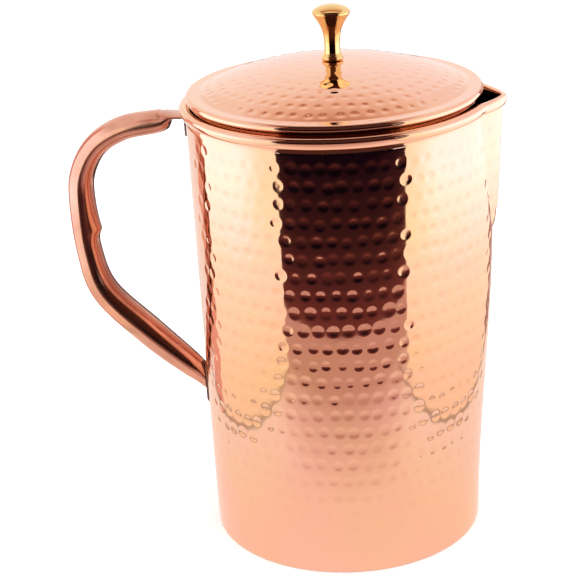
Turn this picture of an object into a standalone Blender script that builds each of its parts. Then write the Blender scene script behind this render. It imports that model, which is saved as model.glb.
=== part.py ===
"""Hammered copper water jug with a pinched spout, a looped handle and a lift-off lid.

Units are metres, +Z is up. The origin is on the jug's centre line at the underside of its base.
The spout points along +X and the handle along -X.
"""
import math

import bmesh
import bpy
import numpy as np

MM = 0.001
GAP = 0.3                      # clearance between two pieces that touch on the real jug

# Jug body
SHEET = 0.9                    # copper sheet of the wall, the base and the handle
BASE_RADIUS = 57.2             # outside of the wall at the floor
NECK_RADIUS = 60.2             # outside of the wall under the rim
NECK_HEIGHT = 176.0
BEAD_RADIUS = 60.4             # centre circle of the rolled rim
BEAD_HEIGHT = 184.6
BEAD_SIZE = 2.4                # radius of the rolled rim's own section
RIM_WIRE_SIZE = 1.15
BASE_FLANGE = 8.0              # height of the base pan's upturned edge
WALL_HEIGHTS = (0.4, 12.0, 40.0, 70.0, 100.0, 122.0, 131.0, 136.0, 144.0, 154.0, 165.0, NECK_HEIGHT)
WALL_FOOT_CHAMFER = 0.3
WALL_STEPS = 64                # facets round the wall
CROWDING = 0.45                # how strongly those facets crowd towards the spout
PAN_BEND = 1.0                 # radius where the base turns up into its edge

# Pinched spout
CREASE_FOOT = 131.0            # height where the spout's crease starts
CREASE_REACH = 6.9             # how far the crease stands out at the rim
CREASE_GROWTH = 0.62
CREASE_HALF_FOOT = math.radians(4.0)
CREASE_HALF_RIM = math.radians(15.5)
BULGE_FOOT = 10.0
BULGE_TOP = 125.0
BULGE_REACH = 4.0              # the soft swelling below the crease
BULGE_FADE = 0.75
BULGE_HALF = math.radians(38.0)
LIP_SQUEEZE = 0.45             # how much narrower the rolled rim is at the spout's tip

# Handle: centre line (distance from the jug's axis, height), half depth and half width of the section.
# It starts as a flat strap under the rim and ends on the lower tab.
HANDLE_LINE = (
    (62.4, 179.7, 1.1, 6.2),
    (66.2, 179.7, 1.2, 6.4),
    (69.0, 178.7, 3.0, 6.8),
    (72.5, 177.2, 4.6, 7.0),
    (88.0, 174.3, 5.0, 7.2),
    (99.7, 167.2, 5.0, 7.2),
    (106.5, 155.8, 5.2, 7.2),
    (108.1, 143.0, 5.4, 7.2),
    (106.9, 120.8, 5.3, 7.2),
    (101.3, 102.0, 5.9, 7.3),
    (83.4, 83.3, 6.3, 7.2),
    (67.5, 69.0, 5.4, 6.0),
    (61.0, 63.2, 4.2, 4.6),
)
HANDLE_STATIONS = 36
HANDLE_ARC_STEPS = 6
GRIP_BUMP_HEIGHT = 130.0
GRIP_BUMP_REACH = 2.0
GRIP_BUMP_ABOVE = 20.0
GRIP_BUMP_BELOW = 7.0
UPPER_TAB = (171.0, 181.0, 6.5)    # lowest, highest and half width of the plate under the rim
LOWER_TAB = (50.5, 71.0, 4.8)
TAB_THICK = 1.0
TAB_STEPS = 6
THINNEST_HALF = 0.25           # where a shell is flat, its inner face still keeps this half depth

# Lid
LID_SHEET = 0.8
LID_BORDER_TOP = 191.05        # flat, smooth border
LID_FIELD_RADIUS = 54.5        # where the domed, hammered field meets the border
LID_DOME = 10.6                # how far the middle stands above the border
LID_DOME_POWER = 2.3
LID_DOME_STEPS = (6.0, 14.0, 21.0, 27.0, 32.5, 37.5, 42.0, 45.5, 48.7, 51.7)
LID_TOP = LID_BORDER_TOP + LID_DOME
LID_EDGE_RADIUS = 58.25        # centre circle of the lid's rolled edge
LID_EDGE_SIZE = 1.65
LID_HOLE = 1.9
COLLAR_SHEET = 0.7
COLLAR_FOOT = 178.0
COLLAR_FLANGE_RADIUS = 53.0    # inner edge of the collar's flange, under the border
COLLAR_NECK_RADIUS = 55.4      # where the flange turns down inside the lid's rolled edge
COLLAR_REST_RADIUS = 58.0      # shoulder that rests on the inner slope of the rolled rim
COLLAR_REST_HEIGHT = 186.75
COLLAR_RADIUS = 57.2           # the plain ring that goes down into the mouth
LID_STEPS = 40

# Knob and its screw
KNOB_FOOT = LID_TOP + GAP
KNOB_PROFILE = (
    (4.15, 0.0), (4.4, 0.4), (4.4, 0.9), (4.05, 1.6), (3.5, 2.2), (3.25, 3.0), (3.25, 5.6), (3.3, 7.6),
    (3.7, 10.8), (5.1, 14.5), (6.85, 17.3), (7.7, 18.8), (7.55, 19.65), (5.95, 20.95), (3.2, 21.85),
    (0.0, 22.15),
)
KNOB_BORE = 1.8
KNOB_BORE_DEPTH = 6.4
KNOB_STEPS = 24
SCREW_RADIUS = 1.5
SCREW_REACH = 5.8              # how far the screw's shank goes into the knob
SCREW_HEAD_RADIUS = 3.2
SCREW_HEAD_HEIGHT = 1.8
SCREW_HEAD_EDGE = 0.6
WASHER_RADIUS = 4.2
WASHER_THICK = 0.6


def clear_scene():
    """Empties the scene of whatever it was opened with."""
    for old in list(bpy.data.objects):
        bpy.data.objects.remove(old, do_unlink=True)


def metal(name, colour, roughness):
    """A Principled metal of one colour."""
    material = bpy.data.materials.new(name)
    material.use_nodes = True
    shader = material.node_tree.nodes["Principled BSDF"]
    shader.inputs["Base Color"].default_value = (*colour, 1.0)
    shader.inputs["Metallic"].default_value = 1.0
    shader.inputs["Roughness"].default_value = roughness
    return material


def smoothstep(value, low, high):
    """Smooth rise from 0 at low to 1 at high."""
    share = np.clip((value - low) / (high - low), 0.0, 1.0)
    return share * share * (3.0 - 2.0 * share)


def wall_radius(height):
    """Outside radius of the plain wall, which widens a little from floor to neck."""
    share = np.clip(np.asarray(height, dtype=float) / NECK_HEIGHT, 0.0, 1.0)
    return BASE_RADIUS + (NECK_RADIUS - BASE_RADIUS) * share ** 0.8


def spout_shift(angle, height):
    """How far the wall is pushed out at an angle and height: a soft swelling plus a sharp crease."""
    turn = np.abs(np.arctan2(np.sin(angle), np.cos(angle)))
    swell = smoothstep(height, BULGE_FOOT, BULGE_TOP)
    swell = swell * (1.0 - BULGE_FADE * smoothstep(height, BULGE_TOP, BEAD_HEIGHT))
    bulge = BULGE_REACH * swell * (1.0 - smoothstep(turn, 0.0, BULGE_HALF))
    climb = np.clip((height - CREASE_FOOT) / (BEAD_HEIGHT - CREASE_FOOT), 0.0, 1.0)
    half = CREASE_HALF_FOOT + (CREASE_HALF_RIM - CREASE_HALF_FOOT) * climb
    flank = np.clip(1.0 - turn / half, 0.0, 1.0)
    crease = CREASE_REACH * climb ** CREASE_GROWTH * flank
    return bulge + crease


def lip_squeeze(angle, height):
    """Share by which the rolled rim is narrowed at an angle; nothing below the neck."""
    turn = np.abs(np.arctan2(np.sin(angle), np.cos(angle)))
    flank = np.clip(1.0 - turn / CREASE_HALF_RIM, 0.0, 1.0)
    return LIP_SQUEEZE * np.sqrt(flank) * smoothstep(height, NECK_HEIGHT, BEAD_HEIGHT - BEAD_SIZE)


def pinch_spout(mesh):
    """Crowds a spun ring's facets towards +X, then pushes its points out into the spout's shape."""
    flat = np.empty(len(mesh.vertices) * 3)
    mesh.vertices.foreach_get("co", flat)
    points = flat.reshape(-1, 3) / MM
    even = np.arctan2(points[:, 1], points[:, 0])
    radius = np.hypot(points[:, 0], points[:, 1])
    height = points[:, 2]
    angle = even - CROWDING * np.sin(even)
    narrowed = (radius - BEAD_RADIUS) * lip_squeeze(angle, height)
    radius = radius + spout_shift(angle, height) - narrowed
    points = np.column_stack((radius * np.cos(angle), radius * np.sin(angle), height))
    mesh.vertices.foreach_set("co", (points * MM).ravel())
    mesh.update()


def finish(name, work, material):
    """Turns a bmesh into a named object with clean normals and smooth round faces."""
    bmesh.ops.remove_doubles(work, verts=work.verts, dist=1e-6)
    bmesh.ops.recalc_face_normals(work, faces=work.faces)
    mesh = bpy.data.meshes.new(name)
    work.to_mesh(mesh)
    work.free()
    mesh.shade_smooth()
    mesh.set_sharp_from_angle(angle=math.radians(40.0))
    mesh.materials.append(material)
    piece = bpy.data.objects.new(name, mesh)
    bpy.context.scene.collection.objects.link(piece)
    return piece


def spin(name, outline, steps, material, closed):
    """Spins an outline of (radius, height) points about the jug's axis into a solid."""
    work = bmesh.new()
    corners = [work.verts.new((radius * MM, 0.0, height * MM)) for radius, height in outline]
    edges = [work.edges.new(pair) for pair in zip(corners[:-1], corners[1:])]
    if closed:
        edges.append(work.edges.new((corners[-1], corners[0])))
    bmesh.ops.spin(
        work, geom=corners + edges, cent=(0.0, 0.0, 0.0), axis=(0.0, 0.0, 1.0),
        angle=2.0 * math.pi, steps=steps, use_merge=True,
    )
    return finish(name, work, material)


def arc(centre, radius, start, end, count):
    """Points on a circle in the outline plane, from one angle to another in degrees."""
    turn = np.radians(np.linspace(start, end, count))
    return [(centre[0] + radius * math.cos(t), centre[1] + radius * math.sin(t)) for t in turn]


def sheet_outline(path, thick):
    """The closed outline of a bent sheet whose mid line follows the path."""
    line = np.array(path, dtype=float)
    step = np.gradient(line, axis=0)
    step /= np.linalg.norm(step, axis=1)[:, None]
    side = np.column_stack((step[:, 1], -step[:, 0])) * thick / 2.0
    return [tuple(p) for p in np.vstack((line + side, (line - side)[::-1]))]


def make_body_wall(material):
    """The wall with its rim rolled outwards round a wire; the roll's end leaves a slot."""
    bead = (BEAD_RADIUS, BEAD_HEIGHT)
    outside = [(BASE_RADIUS - WALL_FOOT_CHAMFER, 0.0)]
    outside += [(float(wall_radius(h)), h) for h in WALL_HEIGHTS]
    roll_inside = arc(bead, BEAD_SIZE - SHEET, 195.0, -110.0, 10)
    roll_outside = arc(bead, BEAD_SIZE, -110.0, 195.0, 11)
    inside = [(float(wall_radius(h)) - SHEET, h) for h in WALL_HEIGHTS[:0:-1] + (0.0,)]
    outline = outside + roll_inside + roll_outside + inside
    wall = spin("body_wall", outline, WALL_STEPS, material, True)
    pinch_spout(wall.data)
    return wall


def make_rim_wire(material):
    """The stiffening wire inside the rolled rim."""
    section = arc((BEAD_RADIUS, BEAD_HEIGHT), RIM_WIRE_SIZE, 0.0, 315.0, 8)
    wire = spin("rim_wire", section, WALL_STEPS, material, True)
    pinch_spout(wire.data)
    return wire


def make_base_pan(material):
    """The flat base, with an upturned edge that laps inside the wall."""
    reach = BASE_RADIUS - SHEET - GAP
    top_reach = float(wall_radius(BASE_FLANGE)) - SHEET - GAP
    outline = [(0.0, 0.0)]
    outline += arc((reach - PAN_BEND, PAN_BEND), PAN_BEND, -90.0, 0.0, 4)
    outline += [(top_reach, BASE_FLANGE), (top_reach - SHEET, BASE_FLANGE)]
    outline += [(reach - SHEET, 1.3 * PAN_BEND), (reach - 1.3 * PAN_BEND, SHEET), (0.0, SHEET)]
    return spin("base_pan", outline, LID_STEPS, material, False)


def smooth_line(points, count):
    """Catmull-Rom curve through rows of numbers, read at evenly spaced places along it."""
    rows = np.array(points, dtype=float)
    padded = np.vstack((2 * rows[0] - rows[1], rows, 2 * rows[-1] - rows[-2]))
    spans = len(rows) - 1
    place = np.linspace(0.0, spans, spans * 20 + 1)
    index = np.minimum(place.astype(int), spans - 1)
    t = (place - index)[:, None]
    a, b, c, d = (padded[index + k] for k in range(4))
    curve = 2 * b + (c - a) * t + (2 * a - 5 * b + 4 * c - d) * t ** 2
    curve = 0.5 * (curve + (3 * b - a - 3 * c + d) * t ** 3)
    length = np.append(0.0, np.cumsum(np.linalg.norm(np.diff(curve[:, :2], axis=0), axis=1)))
    even = np.linspace(0.0, length[-1], count)
    return np.column_stack([np.interp(even, length, curve[:, k]) for k in range(rows.shape[1])])


def slide_to_radius(points, direction, radius):
    """Moves each point along a direction until it is the given distance from the jug's axis."""
    across = direction[0] ** 2 + direction[1] ** 2
    along = points[:, 0] * direction[0] + points[:, 1] * direction[1]
    miss = points[:, 0] ** 2 + points[:, 1] ** 2 - radius ** 2
    root = np.sqrt(along ** 2 - across * miss)
    near = np.where(along < 0.0, -along - root, -along + root) / across
    return points + near[:, None] * direction


def make_handle_shell(name, side, bump, material):
    """One half of the hollow handle: a channel whose section is half an oval.

    side is +1 for the half that faces away from the jug and -1 for the half that faces it.
    """
    stations = smooth_line(HANDLE_LINE, HANDLE_STATIONS)
    reach, height, depth, width = stations.T
    step = np.gradient(stations[:, :2], axis=0)
    step /= np.linalg.norm(step, axis=1)[:, None]
    outward = np.column_stack((-step[:, 1], step[:, 0]))
    turn = np.radians(np.linspace(-90.0, 90.0, HANDLE_ARC_STEPS + 1))
    stand_off = TAB_THICK + 2 * GAP
    stops = {0: NECK_RADIUS + stand_off, HANDLE_STATIONS - 1: float(wall_radius(height[-1])) + stand_off}
    above = np.clip((height - GRIP_BUMP_HEIGHT) / GRIP_BUMP_ABOVE, 0.0, 1.0)
    below = np.clip((GRIP_BUMP_HEIGHT - height) / GRIP_BUMP_BELOW, 0.0, 1.0)
    swell = bump * (1.0 - np.maximum(above, below)) ** 2
    rings = []
    for i in range(HANDLE_STATIONS):
        outer = depth[i] * np.cos(turn) + swell[i] * np.cos(turn) ** 4
        inner = np.maximum(depth[i] - SHEET, THINNEST_HALF) * np.cos(turn) + swell[i] * np.cos(turn) ** 4
        away = side * (np.concatenate((outer, inner[::-1])) + GAP / 2.0)
        across = np.concatenate((width[i] * np.sin(turn), (width[i] - SHEET) * np.sin(turn)[::-1]))
        x = -(reach[i] + away * outward[i, 0])
        z = height[i] + away * outward[i, 1]
        ring = np.column_stack((x, across, z))
        if i in stops:
            line = np.array((-step[i, 0], 0.0, step[i, 1]))
            ring = slide_to_radius(ring, line, stops[i])
        rings.append(ring * MM)
    work = bmesh.new()
    loops = [[work.verts.new(p) for p in ring] for ring in rings]
    count = len(loops[0])
    for first, second in zip(loops[:-1], loops[1:]):
        for k in range(count):
            work.faces.new((first[k], first[(k + 1) % count], second[(k + 1) % count], second[k]))
    half = count // 2
    for loop in (loops[0], loops[-1]):
        for k in range(half - 1):
            work.faces.new((loop[k], loop[k + 1], loop[count - 2 - k], loop[count - 1 - k]))
    return finish(name, work, material)


def make_tab(name, size, radius, material):
    """A small curved plate that lies on the wall under one end of the handle."""
    low, high, half_width = size
    spread = math.asin(half_width / radius)
    turn = np.linspace(math.pi - spread, math.pi + spread, TAB_STEPS + 1)
    work = bmesh.new()
    rows = []
    for height in (low, high):
        for reach in (radius, radius + TAB_THICK):
            points = np.column_stack((reach * np.cos(turn), reach * np.sin(turn), np.full(len(turn), height)))
            rows.append([work.verts.new(point * MM) for point in points])
    low_in, low_out, high_in, high_out = rows
    for first, second in ((low_in, low_out), (low_out, high_out), (high_out, high_in), (high_in, low_in)):
        for k in range(len(first) - 1):
            work.faces.new((first[k], first[k + 1], second[k + 1], second[k]))
    for end in (0, -1):
        work.faces.new((low_in[end], low_out[end], high_out[end], high_in[end]))
    return finish(name, work, material)


def make_lid_plate(material):
    """The lid's sheet: a domed field, a flat border and an edge rolled under.

    The dome falls away from the middle as a power of the radius.
    """
    edge = (LID_EDGE_RADIUS, LID_BORDER_TOP - LID_EDGE_SIZE)
    top = [(LID_HOLE, LID_TOP)]
    top += [(r, LID_TOP - LID_DOME * (r / LID_FIELD_RADIUS) ** LID_DOME_POWER) for r in LID_DOME_STEPS]
    top += [(LID_FIELD_RADIUS, LID_BORDER_TOP), (LID_EDGE_RADIUS - LID_EDGE_SIZE, LID_BORDER_TOP)]
    roll_out = arc(edge, LID_EDGE_SIZE, 90.0, -130.0, 9)
    roll_in = arc(edge, LID_EDGE_SIZE - LID_SHEET, -130.0, 90.0, 7)
    under = [(r, z - LID_SHEET) for r, z in top[::-1]]
    outline = top + roll_out + roll_in + under
    return spin("lid_plate", outline, LID_STEPS, material, True)


def make_lid_collar(material):
    """The ring under the lid that locates it in the mouth and rests on the rolled rim."""
    flange = LID_BORDER_TOP - LID_SHEET - GAP - COLLAR_SHEET / 2.0
    neck = COLLAR_NECK_RADIUS
    rest = COLLAR_REST_HEIGHT
    path = [(COLLAR_FLANGE_RADIUS, flange), (neck - 0.8, flange), (neck - 0.1, flange - 0.5)]
    path += [(neck, rest + 1.05), (neck + 0.5, rest + 0.35), (COLLAR_REST_RADIUS - 0.6, rest + 0.25)]
    path += [(COLLAR_REST_RADIUS, rest), (COLLAR_REST_RADIUS - 0.3, rest - 0.45)]
    path += [(COLLAR_RADIUS + 0.05, rest - 1.15), (COLLAR_RADIUS, rest - 3.75), (COLLAR_RADIUS, COLLAR_FOOT)]
    return spin("lid_collar", sheet_outline(path, COLLAR_SHEET), LID_STEPS, material, True)


def make_knob(material):
    """The turned knob, with a blind hole in its foot for the screw."""
    outline = [(0.0, KNOB_FOOT + KNOB_BORE_DEPTH), (KNOB_BORE, KNOB_FOOT + KNOB_BORE_DEPTH)]
    outline += [(KNOB_BORE, KNOB_FOOT)]
    outline += [(radius, KNOB_FOOT + height) for radius, height in KNOB_PROFILE]
    return spin("knob", outline, KNOB_STEPS, material, False)


def make_knob_washer(material):
    """The washer between the screw's head and the lid."""
    top = LID_TOP - LID_SHEET - GAP
    low = top - WASHER_THICK
    outline = [(LID_HOLE, low), (WASHER_RADIUS, low), (WASHER_RADIUS, top), (LID_HOLE, top)]
    return spin("knob_washer", outline, KNOB_STEPS, material, True)


def make_knob_screw(material):
    """The round-headed screw that holds the knob from under the lid."""
    seat = LID_TOP - LID_SHEET - WASHER_THICK - 2 * GAP
    crown = seat - SCREW_HEAD_HEIGHT
    outline = [(0.0, crown), (0.6 * SCREW_HEAD_RADIUS, crown + SCREW_HEAD_EDGE / 2.0)]
    outline += [(SCREW_HEAD_RADIUS, seat - SCREW_HEAD_EDGE), (SCREW_HEAD_RADIUS, seat), (SCREW_RADIUS, seat)]
    outline += [(SCREW_RADIUS, KNOB_FOOT + SCREW_REACH), (0.0, KNOB_FOOT + SCREW_REACH)]
    return spin("knob_screw", outline, KNOB_STEPS, material, False)


def main():
    clear_scene()
    copper = metal("polished_copper", (0.86, 0.46, 0.33), 0.14)
    inside = metal("dark_copper", (0.60, 0.29, 0.18), 0.35)
    grip = metal("handle_copper", (0.70, 0.35, 0.22), 0.2)
    wire = metal("rim_wire_copper", (0.62, 0.33, 0.22), 0.4)
    brass = metal("knob_brass", (0.86, 0.64, 0.27), 0.12)
    steel = metal("screw_steel", (0.60, 0.60, 0.58), 0.35)
    make_body_wall(copper)
    make_rim_wire(wire)
    make_base_pan(inside)
    make_handle_shell("handle_outer_shell", 1.0, 0.0, grip)
    make_handle_shell("handle_inner_shell", -1.0, GRIP_BUMP_REACH, grip)
    make_tab("handle_upper_tab", UPPER_TAB, NECK_RADIUS + GAP, grip)
    make_tab("handle_lower_tab", LOWER_TAB, float(wall_radius(LOWER_TAB[1])) + GAP, grip)
    make_lid_plate(copper)
    make_lid_collar(copper)
    knob = make_knob(brass)
    washer = make_knob_washer(brass)
    screw = make_knob_screw(steel)
    washer.parent = knob
    screw.parent = knob


main()
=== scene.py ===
"""Looks of a hammered copper water jug with a pinched spout, a looped handle and a lift-off lid.

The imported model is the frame: every piece here is built where its node lies and rides on its body.
Lengths are in millimetres until a mesh is written, and angles are in radians unless a name says
degrees. Angle 0 is the spout (+X), and the handle is at half a turn.
"""

import logging
import math
from dataclasses import dataclass, field
from enum import Enum
from typing import Callable, Optional, Sequence

import bpy
import numpy as np
from mathutils import Matrix, Vector


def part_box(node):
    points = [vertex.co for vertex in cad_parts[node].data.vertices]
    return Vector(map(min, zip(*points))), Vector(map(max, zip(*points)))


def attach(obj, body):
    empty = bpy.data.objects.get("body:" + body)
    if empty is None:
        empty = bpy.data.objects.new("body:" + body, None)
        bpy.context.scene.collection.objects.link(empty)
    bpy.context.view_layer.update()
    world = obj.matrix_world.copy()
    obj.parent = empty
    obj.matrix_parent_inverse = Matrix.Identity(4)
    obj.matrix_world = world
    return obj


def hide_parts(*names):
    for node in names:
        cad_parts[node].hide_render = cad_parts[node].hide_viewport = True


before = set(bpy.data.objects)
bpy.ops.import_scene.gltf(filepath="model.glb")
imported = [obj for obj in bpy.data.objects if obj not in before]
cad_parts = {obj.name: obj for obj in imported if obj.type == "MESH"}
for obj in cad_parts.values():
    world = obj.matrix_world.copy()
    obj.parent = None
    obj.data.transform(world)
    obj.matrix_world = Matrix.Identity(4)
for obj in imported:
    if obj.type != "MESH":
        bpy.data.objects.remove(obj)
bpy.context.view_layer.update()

MM = 0.001
SHARP_FROM = math.radians(42.0)
LOG = logging.getLogger("jug")

Colour = tuple[float, float, float]
Socket = bpy.types.NodeSocket


class Body(Enum):
    """The bodies that a piece can ride on."""

    JUG = "jug"
    KNOB = "lid_knob"
    LID = "lid"


class Side(Enum):
    """The two halves of the hollow handle: away from the jug, and facing it."""

    OUTER = 1
    INNER = -1


# ---------------------------------------------------------------------------
# Curves and surfaces
# ---------------------------------------------------------------------------


def box_mm(node: str) -> tuple[np.ndarray, np.ndarray]:
    """Lowest and highest corner of a CAD node.

    Args:
        node: the node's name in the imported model.

    Returns:
        The two corners in millimetres.
    """
    low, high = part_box(node)
    return np.array(low) / MM, np.array(high) / MM


def smoothstep(value: np.ndarray, low: float, high: float) -> np.ndarray:
    """Smooth rise from 0 at low to 1 at high: 3 s^2 - 2 s^3 of the share s between them."""
    share = np.clip((np.asarray(value, dtype=float) - low) / (high - low), 0.0, 1.0)
    return share * share * (3.0 - 2.0 * share)


def soft_positive(value: np.ndarray, softness: float) -> np.ndarray:
    """The larger of a value and 0, with its corner rounded: half of v plus the root of v^2 + s^2."""
    return 0.5 * (value + np.sqrt(value ** 2 + softness ** 2))


def smooth_curve(rows: Sequence[Sequence[float]], count: int) -> np.ndarray:
    """Catmull-Rom curve through rows of numbers, read at evenly spaced places along it.

    Between rows b and c, with a before and d after, the curve at share t is
    half of 2b + (c - a) t + (2a - 5b + 4c - d) t^2 + (3b - a - 3c + d) t^3.

    Args:
        rows: the points; the first two numbers of each are its place, the rest follow along.
        count: how many points to return.

    Returns:
        An array of count rows.
    """
    known = np.array(rows, dtype=float)
    padded = np.vstack((2 * known[0] - known[1], known, 2 * known[-1] - known[-2]))
    spans = len(known) - 1
    place = np.linspace(0.0, spans, spans * 40 + 1)
    index = np.minimum(place.astype(int), spans - 1)
    t = (place - index)[:, None]
    a, b, c, d = (padded[index + k] for k in range(4))
    curve = 2 * b + (c - a) * t + (2 * a - 5 * b + 4 * c - d) * t ** 2
    curve = 0.5 * (curve + (3 * b - a - 3 * c + d) * t ** 3)
    length = np.append(0.0, np.cumsum(np.linalg.norm(np.diff(curve[:, :2], axis=0), axis=1)))
    even = np.linspace(0.0, length[-1], count)
    return np.column_stack([np.interp(even, length, column) for column in curve.T])


def arc(centre: tuple[float, float], radius: float, start: float, end: float, count: int) -> np.ndarray:
    """Points on a circle, from one angle to another in degrees: centre + radius (cos t, sin t)."""
    turn = np.radians(np.linspace(start, end, count))
    return np.column_stack((centre[0] + radius * np.cos(turn), centre[1] + radius * np.sin(turn)))


def revolve(profile: np.ndarray, columns: int) -> np.ndarray:
    """A profile of (radius, height) turned about Z: point = (r cos a, r sin a, z).

    Args:
        profile: rows of radius and height.
        columns: how many steps round the axis.

    Returns:
        A grid of points, rows by columns by 3.
    """
    angle = np.linspace(0.0, 2.0 * math.pi, columns, endpoint=False)
    radius = profile[:, :1]
    height = np.broadcast_to(profile[:, 1:2], (len(profile), columns))
    return np.stack((radius * np.cos(angle), radius * np.sin(angle), height), axis=-1)


def lattice(rows: int, columns: int, row_loop: bool, column_loop: bool) -> np.ndarray:
    """The four-sided faces between the points of a grid.

    Args:
        rows: rows of the grid.
        columns: columns of the grid.
        row_loop: whether the last row joins the first.
        column_loop: whether the last column joins the first.

    Returns:
        An array of faces by 4 point numbers.
    """
    index = np.arange(rows * columns).reshape(rows, columns)
    if row_loop:
        index = np.vstack((index, index[:1]))
    if column_loop:
        index = np.column_stack((index, index[:, 0]))
    corners = (index[:-1, :-1], index[:-1, 1:], index[1:, 1:], index[1:, :-1])
    return np.stack(corners, axis=-1).reshape(-1, 4)


def six_volumes(points: np.ndarray, faces: np.ndarray) -> float:
    """Six times the signed volume under four-sided faces: a . (b x c) summed over their triangles.

    Args:
        points: points by 3.
        faces: faces by 4 point numbers.

    Returns:
        The volume times six, positive where the faces point outwards.
    """
    a, b, c, d = (points[faces[:, k]] for k in range(4))
    first = np.einsum("ij,ij->i", a, np.cross(b, c))
    second = np.einsum("ij,ij->i", a, np.cross(c, d))
    return float(first.sum() + second.sum())


def point_normals(points: np.ndarray, faces: np.ndarray) -> np.ndarray:
    """Unit normals at points: the sum of the cross products of the diagonals of the faces round them.

    Args:
        points: points by 3.
        faces: faces by 4 point numbers, outward.

    Returns:
        Points by 3 unit vectors.
    """
    a, b, c, d = (points[faces[:, k]] for k in range(4))
    across = np.cross(c - a, d - b)
    corner = faces.ravel()
    spread = np.repeat(across, 4, axis=0)
    total = [np.bincount(corner, weights=spread[:, k], minlength=len(points)) for k in range(3)]
    total = np.column_stack(total)
    return total / np.maximum(np.linalg.norm(total, axis=1), 1e-12)[:, None]


def write_piece(
    name: str,
    points: np.ndarray,
    faces: list[list[int]],
    marks: Optional[np.ndarray] = None,
    normals: Optional[np.ndarray] = None,
) -> bpy.types.Object:
    """Puts points and faces into a new mesh object, smooth where its faces meet gently.

    Args:
        name: the piece's name.
        points: points by 3, in millimetres.
        faces: lists of point numbers, outward.
        marks: how deep the hammer went at each point, from 0 to 1, for the finish to read.
        normals: unit normals for the points, where a neighbour piece continues the surface.

    Returns:
        The new object, at the origin.
    """
    mesh = bpy.data.meshes.new(name)
    mesh.from_pydata((points * MM).tolist(), [], faces)
    mesh.update()
    mesh.shade_smooth()
    if marks is not None:
        depth = mesh.attributes.new("hammer_mark", "FLOAT", "POINT")
        depth.data.foreach_set("value", marks.astype(np.float32))
    if normals is None:
        mesh.set_sharp_from_angle(angle=SHARP_FROM)
    else:
        mesh.normals_split_custom_set_from_vertices(normals.tolist())
    piece = bpy.data.objects.new(name, mesh)
    bpy.context.scene.collection.objects.link(piece)
    return piece


def write_ring(name: str, grid: np.ndarray, marks: Optional[np.ndarray] = None) -> bpy.types.Object:
    """A closed ring: the grid's profile is a loop, and it goes all the way round.

    Args:
        name: the piece's name.
        grid: rows by columns by 3, in millimetres.
        marks: hammer depth at each point, from 0 to 1.

    Returns:
        The new object.
    """
    points = grid.reshape(-1, 3)
    faces = lattice(grid.shape[0], grid.shape[1], True, True)
    if six_volumes(points, faces) < 0.0:
        faces = faces[:, ::-1]
    return write_piece(name, points, faces.tolist(), None if marks is None else marks.ravel())


def write_turned(name: str, profile: np.ndarray, columns: int) -> bpy.types.Object:
    """A solid turned about Z whose profile starts and ends on the axis, with one point at each pole.

    Args:
        name: the piece's name.
        profile: rows of radius and height; the first and the last have radius 0.
        columns: how many steps round the axis.

    Returns:
        The new object.
    """
    grid = revolve(profile[1:-1], columns)
    rows = grid.shape[0]
    poles = np.array([[0.0, 0.0, profile[0, 1]], [0.0, 0.0, profile[-1, 1]]])
    points = np.vstack((grid.reshape(-1, 3), poles))
    faces = lattice(rows, columns, False, True)
    first = np.arange(columns)
    following = np.roll(first, -1)
    last = first + (rows - 1) * columns
    start = np.column_stack((np.full(columns, rows * columns), following, first))
    end = np.column_stack((np.full(columns, rows * columns + 1), last, last[following]))
    fans = np.vstack((start, end))
    padded = np.column_stack((fans, fans[:, 2]))
    if six_volumes(points, np.vstack((faces, padded))) < 0.0:
        faces = faces[:, ::-1]
        fans = fans[:, ::-1]
    return write_piece(name, points, faces.tolist() + fans.tolist())


def write_channel(name: str, grid: np.ndarray) -> bpy.types.Object:
    """A sheet channel swept along a path: each row is a closed section whose first half is its outer
    line and whose second half is its inner line backwards, and both ends are closed with strips.

    Args:
        name: the piece's name.
        grid: stations by section points by 3, in millimetres.

    Returns:
        The new object.
    """
    stations, count = grid.shape[:2]
    points = grid.reshape(-1, 3)
    faces = lattice(stations, count, False, True)
    k = np.arange(count // 2 - 1)
    strip = np.column_stack((k, k + 1, count - 2 - k, count - 1 - k))
    far = strip[:, ::-1] + (stations - 1) * count
    faces = np.vstack((faces, strip, far))
    if six_volumes(points, faces) < 0.0:
        faces = faces[:, ::-1]
    return write_piece(name, points, faces.tolist())


def write_pad(name: str, top: np.ndarray, under: np.ndarray) -> bpy.types.Object:
    """A closed pad of two grids that share their outline.

    Args:
        name: the piece's name.
        top: rows by columns by 3.
        under: the same outline, other side.

    Returns:
        The new object.
    """
    rows, columns = top.shape[:2]
    index = np.arange(rows * columns).reshape(rows, columns)
    inner = np.zeros((rows, columns), dtype=bool)
    inner[1:-1, 1:-1] = True
    lower = index.copy()
    lower[inner] = rows * columns + np.arange(int(inner.sum()))
    points = np.vstack((top.reshape(-1, 3), under[inner]))
    upper_faces = lattice(rows, columns, False, False)
    corners = (lower[:-1, :-1], lower[1:, :-1], lower[1:, 1:], lower[:-1, 1:])
    lower_faces = np.stack(corners, axis=-1).reshape(-1, 4)
    faces = np.vstack((upper_faces, lower_faces))
    if six_volumes(points, faces) < 0.0:
        faces = faces[:, ::-1]
    return write_piece(name, points, faces.tolist())


# ---------------------------------------------------------------------------
# Finishes
# ---------------------------------------------------------------------------


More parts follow.
